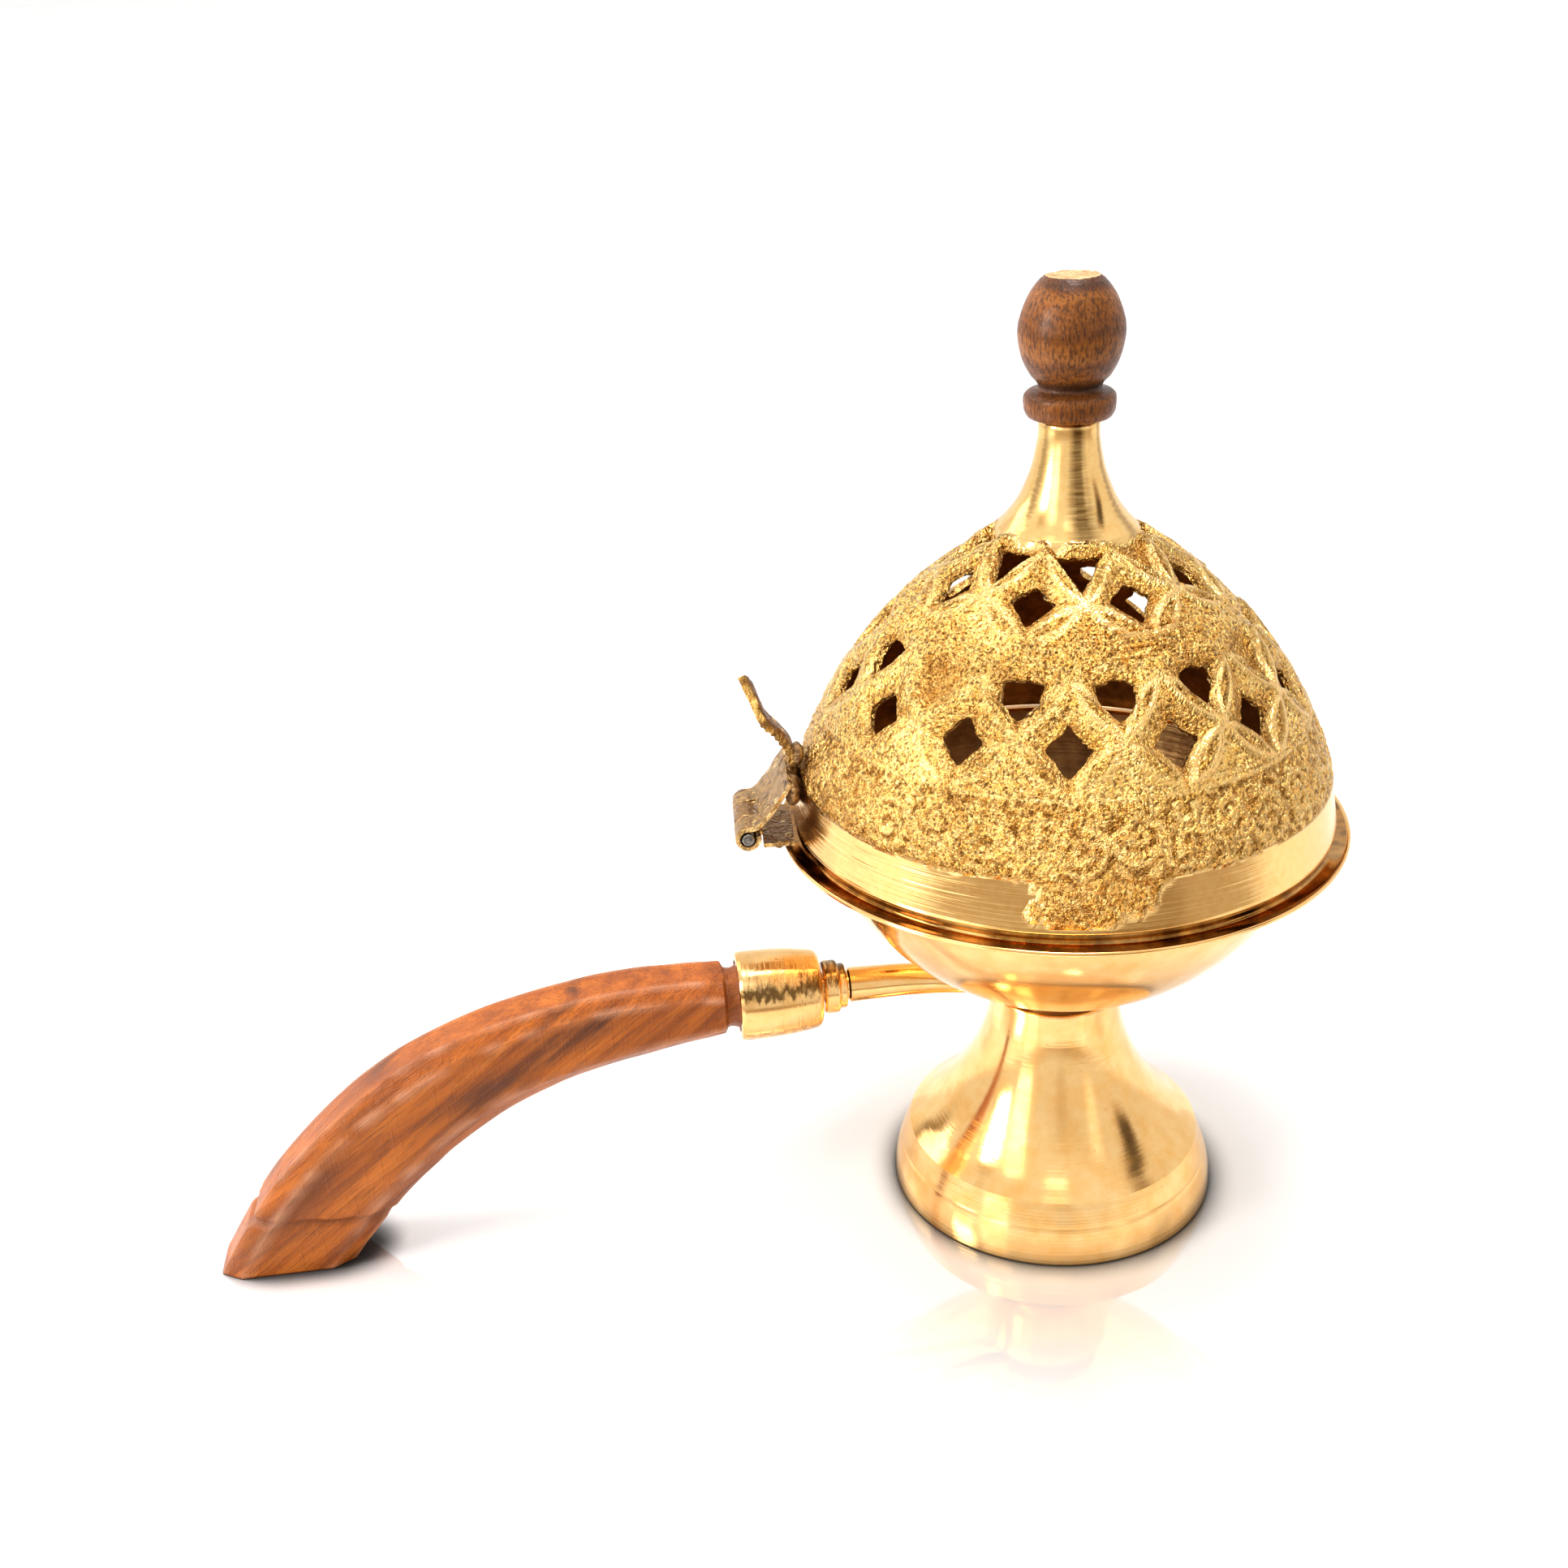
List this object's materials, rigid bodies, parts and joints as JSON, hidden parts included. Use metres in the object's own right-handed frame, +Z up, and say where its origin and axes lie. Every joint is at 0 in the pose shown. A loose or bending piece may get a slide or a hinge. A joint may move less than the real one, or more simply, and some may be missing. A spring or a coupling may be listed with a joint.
{
  "type": "hand censer",
  "caption": "Footed brass hand censer with a pierced domed lid on a rear hinge, a thumb lever, a turned wooden knob and a curved wooden handle on a side rod.",
  "frame": {"origin": "centre of the bounding box's bottom face, on the floor", "axes": "+Z up, the handle runs along -X, the bowl stands on the +X side"},
  "size_m": [0.2094, 0.1, 0.1713],
  "materials": {
    "cast_lid_brass": "cast relief, dull gold, bright high spots",
    "polished_brass": "spun and lathe-polished",
    "turned_brass": "turned, fine tool lines",
    "rosewood": "oiled, sanded, straight dark streaks",
    "walnut": "turned, dark, short flecks",
    "aged_bronze": "sheared and hammered strip, brown oxide",
    "steel": "plain grey",
    "braze": "rough brown beads"
  },
  "bodies": {
    "base": {"foot": "polished_brass", "bowl": "polished_brass", "centre_washer": "steel", "centre_screw": "steel", "foot_nut": "steel", "handle_rod": "turned_brass", "rod_collar": "turned_brass", "ferrule": "turned_brass", "wooden_handle": "rosewood", "bowl_hinge_leaf": "aged_bronze", "hinge_pin": "steel", "bowl_leaf_braze": "braze"},
    "lid": {"lid_dome": "cast_lid_brass", "knob": "walnut", "knob_screw": "steel", "lid_hinge_leaf": "aged_bronze", "thumb_lever": "aged_bronze", "lid_leaf_braze": "braze", "lever_braze": "braze"}
  },
  "joints": [
    {"name": "lid_hinge", "type": "hinge", "parent": "base", "child": "lid", "pos_m": [-0.00113, 0.00371, 0.07985], "axis": [-0.0663, -0.9978, 0], "range_deg": [0, 145]}
  ]
}
